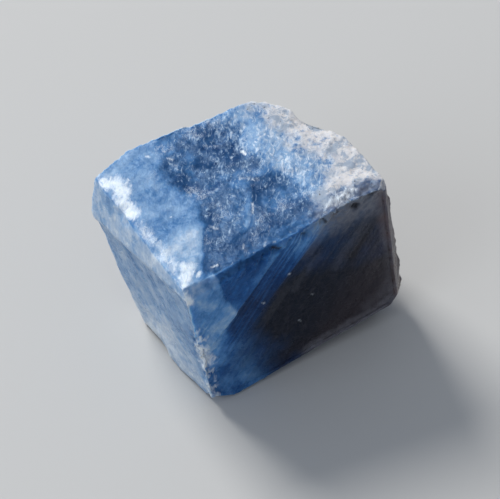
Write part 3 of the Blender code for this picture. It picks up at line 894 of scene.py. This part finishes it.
def stoneMaterial():
    material = bpy.data.materials.new("cloudySapphire")
    material.use_nodes = True
    shader = material.node_tree.nodes["Principled BSDF"]
    wire = Wiring(material)
    clear = wire.attribute("clear")
    crusted = wire.attribute("crust")
    scuffAndGlint = wire.attribute("scuffAndGlint")
    cloud = wire.noise(grainScales["cloud"], 5, 0.62, 0.4)
    fine = wire.noise(grainScales["fine"], 3, 0.6, 0.5)
    flecks = [wire.noise(grainScales["fleck"], 4, 0.68, 1.0, (turn, 2.0)) for turn in (62, -20)]
    fleck = wire.math("MAXIMUM", *flecks)
    striation = wire.lines(wire.attribute("basal"), 3.5)

    # the stone's colour, with smoke, haze and stains in it, and painted glow, shade and rim light among them
    tone = wire.math("MULTIPLY_ADD", cloud, 0.5, wire.math("SUBTRACT", wire.attribute("tone"), 0.25))
    tone = wire.math("MULTIPLY_ADD", fine, 0.3, wire.math("SUBTRACT", tone, 0.15))
    layered = wire.math("MULTIPLY", clear, wire.attribute("layered"))
    banded = wire.math("MULTIPLY", layered, wire.math("MULTIPLY", wire.math("SUBTRACT", striation, 0.5), 0.7))
    tone = wire.math("ADD", tone, banded)
    colour = wire.blend(clear, wire.scale(tone, tones), wire.scale(tone, clearTones))
    smokeAndShade = wire.blend(wire.reach(fleck, 0.42, 0.75, (0.0, 0.6)), colours["smokeAndShade"], colours["smokePale"])
    colour = wire.blend(wire.attribute("smokeAndShade"), colour, smokeAndShade)
    hazeAndPaintedLight = wire.math("MULTIPLY", wire.attribute("hazeAndPaintedLight"), wire.reach(fine, 0.25, 0.7, (0.5, 1.0)))
    colour = wire.blend(hazeAndPaintedLight, colour, colours["hazeAndPaintedLight"])
    colour = wire.blend(wire.attribute("stain"), colour, colours["stain"])
    colour = wire.blend(wire.attribute("pit"), colour, colours["pit"])
    # frosted flecks, thin bright cracks and scuffs on it, with painted glints on the brightest flecks and small
    # marks
    frost = wire.attribute("frost")
    threshold = wire.reach(frost, 0.0, 1.0, (0.78, 0.47))
    overThreshold = wire.math("SUBTRACT", fleck, threshold)
    frosted = wire.reach(overThreshold, -0.02, 0.12, (0.0, 0.75))
    frostAndGlintColour = wire.blend(wire.reach(overThreshold, 0.08, 0.2), colours["frost"], colours["paleCrackAndGlint"])
    colour = wire.blend(frosted, colour, frostAndGlintColour)
    longHairs, shortHairs = grainScales["hairs"]
    hairs = wire.math("MAXIMUM", wire.ridges(longHairs, 1.5, (40, 3.0)), wire.ridges(shortHairs, 2.5, (-30, 2.2)))
    hairs = wire.math("MULTIPLY", hairs, wire.reach(cloud, 0.52, 0.68, (0.0, 0.75)))
    hairs = wire.math("MULTIPLY", hairs, wire.reach(frost, 0.1, 0.6))
    colour = wire.blend(hairs, colour, colours["paleCrackAndGlint"])
    broken = wire.math("MULTIPLY_ADD", wire.math("SUBTRACT", fleck, 0.55), 2.0, scuffAndGlint)
    scuffAndGlintShare = wire.math("MULTIPLY", wire.reach(broken, 0.1, 1.15, (0.0, 0.93)), wire.reach(scuffAndGlint, 0.02, 0.3))
    colour = wire.blend(scuffAndGlintShare, colour, colours["scuffAndGlint"])
    # the crust of pale and grey grains
    grain = wire.noise(grainScales["crust"], 5, 0.75, 0.8)
    grey = wire.reach(wire.math("MULTIPLY_ADD", cloud, 1.3, grain), 1.08, 1.32, (0.0, 0.85))
    crustColour = wire.blend(grey, colours["crustPale"], colours["crustGrey"])
    pitted = wire.reach(wire.noise(grainScales["crustPits"], 2, 0.6), 0.66, 0.74)
    crustColour = wire.blend(pitted, crustColour, colours["crustPit"])
    patchy = wire.math("MULTIPLY_ADD", wire.math("SUBTRACT", cloud, 0.5), 1.6, crusted)
    patchy = wire.math("MULTIPLY_ADD", wire.math("SUBTRACT", grain, 0.5), 1.6, patchy)
    covered = wire.math("MULTIPLY", wire.reach(patchy, 0.27, 1.1), wire.reach(crusted, 0.02, 0.3))
    colour = wire.blend(covered, colour, crustColour)
    wire.feed(shader.inputs["Base Color"], colour)

    roughness = wire.math("MULTIPLY_ADD", frosted, -0.12, wire.reach(cloud, 0.3, 0.7, (0.24, 0.34)))
    roughness = wire.math("MULTIPLY_ADD", crusted, 0.35, roughness)
    roughness = wire.math("MULTIPLY_ADD", scuffAndGlint, 0.1, roughness)
    wire.feed(shader.inputs["Roughness"], roughness)
    for name, value in body.items():
        shader.inputs[name].default_value = value

    bump = wire.node("ShaderNodeBump")
    bump.inputs["Strength"].default_value = 0.8
    bump.inputs["Distance"].default_value = 0.04 * metres
    wire.feed(bump.inputs["Height"], wire.math("ADD", fine, fleck))
    wire.feed(shader.inputs["Normal"], bump.outputs[0])
    return material


block.data.materials.clear()
block.data.materials.append(stoneMaterial())
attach(block, "root")
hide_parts("sapphire_crystal")
print("stone finished")

setting = {
    "floorSize": 1.2,
    "floorColour": (0.56, 0.56, 0.55, 1),
    "floorRoughness": 0.8,
    "worldColour": (0.80, 0.87, 1.0, 1),
    "worldStrength": 0.34,
}


def makeFloor():
    sheet = bmesh.new()
    bmesh.ops.create_grid(sheet, x_segments=1, y_segments=1, size=setting["floorSize"] / 2)
    mesh = bpy.data.meshes.new("floor")
    sheet.to_mesh(mesh)
    sheet.free()
    floor = bpy.data.objects.new("floor", mesh)
    bpy.context.scene.collection.objects.link(floor)
    material = bpy.data.materials.new("paleFloor")
    material.use_nodes = True
    shader = material.node_tree.nodes["Principled BSDF"]
    shader.inputs["Base Color"].default_value = setting["floorColour"]
    shader.inputs["Roughness"].default_value = setting["floorRoughness"]
    mesh.materials.append(material)


lamps = {  # where each lamp stands, how wide it is in metres, its power in watts, and its tint
    "windowLight": ((-0.30, 0.34, 0.42), 0.26, 3.6, (1.0, 0.98, 0.95)),
    "skyFill": ((-0.35, -0.25, 0.30), 0.40, 0.6, (0.85, 0.92, 1.0)),
}


def makeLamps():
    for name, (place, width, power, tint) in lamps.items():
        light = bpy.data.lights.new(name, "AREA")
        light.shape = "DISK"
        light.size = width
        light.energy = power
        light.color = tint
        lamp = bpy.data.objects.new(name, light)
        lamp.location = place
        lamp.rotation_euler = Vector(place).to_track_quat("Z", "Y").to_euler()
        bpy.context.scene.collection.objects.link(lamp)
    world = bpy.data.worlds.new("softRoom")
    world.use_nodes = True
    sky = world.node_tree.nodes["Background"]
    sky.inputs["Color"].default_value = setting["worldColour"]
    sky.inputs["Strength"].default_value = setting["worldStrength"]
    bpy.context.scene.world = world


view = {
    "elevation": 51.0,  # degrees above the horizon, looking along +Y
    "lens": 216.0,  # mm
    "sensor": 36.0,  # mm
    "distanceInPixels": 3000.0,  # in pixels of the 500 x 499 picture
    "apexPixel": (184.2, 297.3),  # where the apex corner is in the photo
    "middlePixel": (249.5, 249.5),
    "pixel": 12.0 / 235.763 * metres,  # at the apex corner: the long top edge, 12 mm, spans 235.763 pixels
}


def makeCamera():
    rise = math.radians(view["elevation"])
    ahead = Vector((0, math.cos(rise), -math.sin(rise)))
    right = Vector((1, 0, 0))
    up = right.cross(ahead)
    across = view["apexPixel"][0] - view["middlePixel"][0]
    down = view["apexPixel"][1] - view["middlePixel"][1]
    eye = apex - (ahead * view["distanceInPixels"] + right * across - up * down) * view["pixel"]
    camera = bpy.data.objects.new("camera", bpy.data.cameras.new("camera"))
    camera.data.lens = view["lens"]
    camera.data.sensor_width = view["sensor"]
    camera.data.clip_start = 0.01
    camera.data.clip_end = 10.0
    camera.matrix_world = Matrix.Translation(eye) @ Matrix((right, up, -ahead)).transposed().to_4x4()
    bpy.context.scene.collection.objects.link(camera)
    bpy.context.scene.camera = camera


makeFloor()
makeLamps()
makeCamera()
bpy.context.scene.view_settings.view_transform = "Standard"
print("floor, lamps and camera set")
